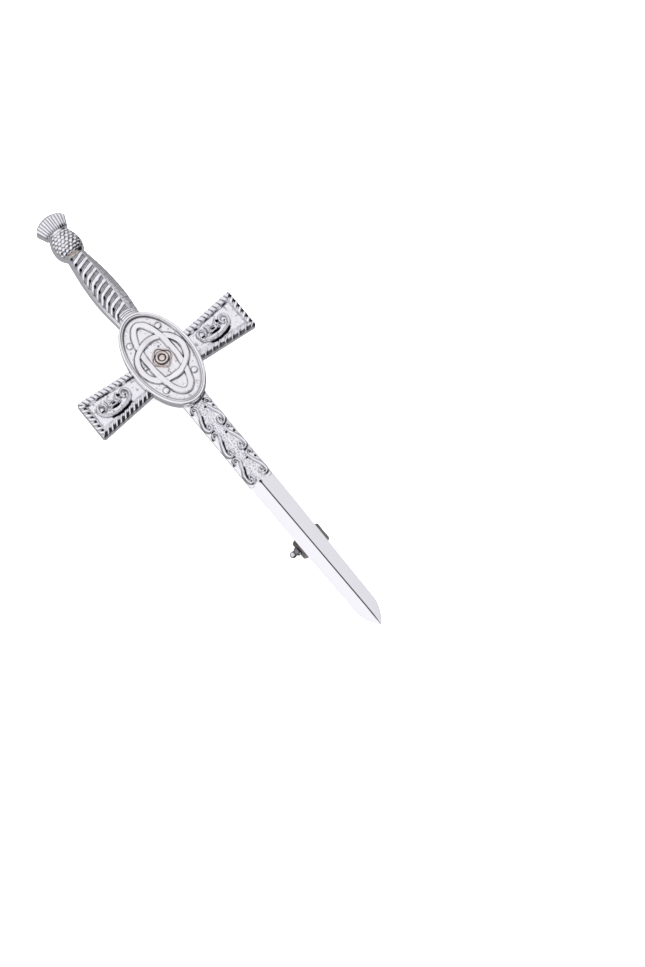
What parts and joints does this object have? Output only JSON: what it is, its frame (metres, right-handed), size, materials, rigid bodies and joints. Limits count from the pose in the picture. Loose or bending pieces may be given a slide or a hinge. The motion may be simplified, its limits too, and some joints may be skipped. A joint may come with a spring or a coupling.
{
  "type": "kilt pin",
  "caption": "Sword-shaped kilt pin with an oval medallion, thistle pommel and rope-edged arms, and on its back a hinged pin stem with a turning safety catch.",
  "frame": {"origin": "centre of the pin's outline, on the surface that it lies on with its front up", "axes": "+Y from the sword's point to its pommel, +X across the arms, +Z out of the front face"},
  "size_m": [0.0358, 0.1, 0.0089],
  "materials": {
    "chrome_casting": "polished chrome plate over a casting, dark in its recesses",
    "medallion": "polished chrome plate with a fine matte field",
    "findings": "bright plated steel wire and turned parts"
  },
  "bodies": {
    "sword": {"sword": "chrome_casting", "medallion": "medallion", "hinge_rivet": "findings"},
    "pin": {"pin_stem": "findings"},
    "catch": {"catch_rotor": "findings"}
  },
  "joints": [
    {"name": "pin_swing", "type": "hinge", "parent": "sword", "child": "pin", "pos_m": [0.0004, 0.0144, 0.00194], "axis": [1, 0, 0], "range_deg": [0, 95]},
    {"name": "catch_turn", "type": "hinge", "parent": "sword", "child": "catch", "pos_m": [0.0004, -0.0291, 0.00305], "axis": [0, -1, 0], "range_deg": [0, 85]}
  ]
}
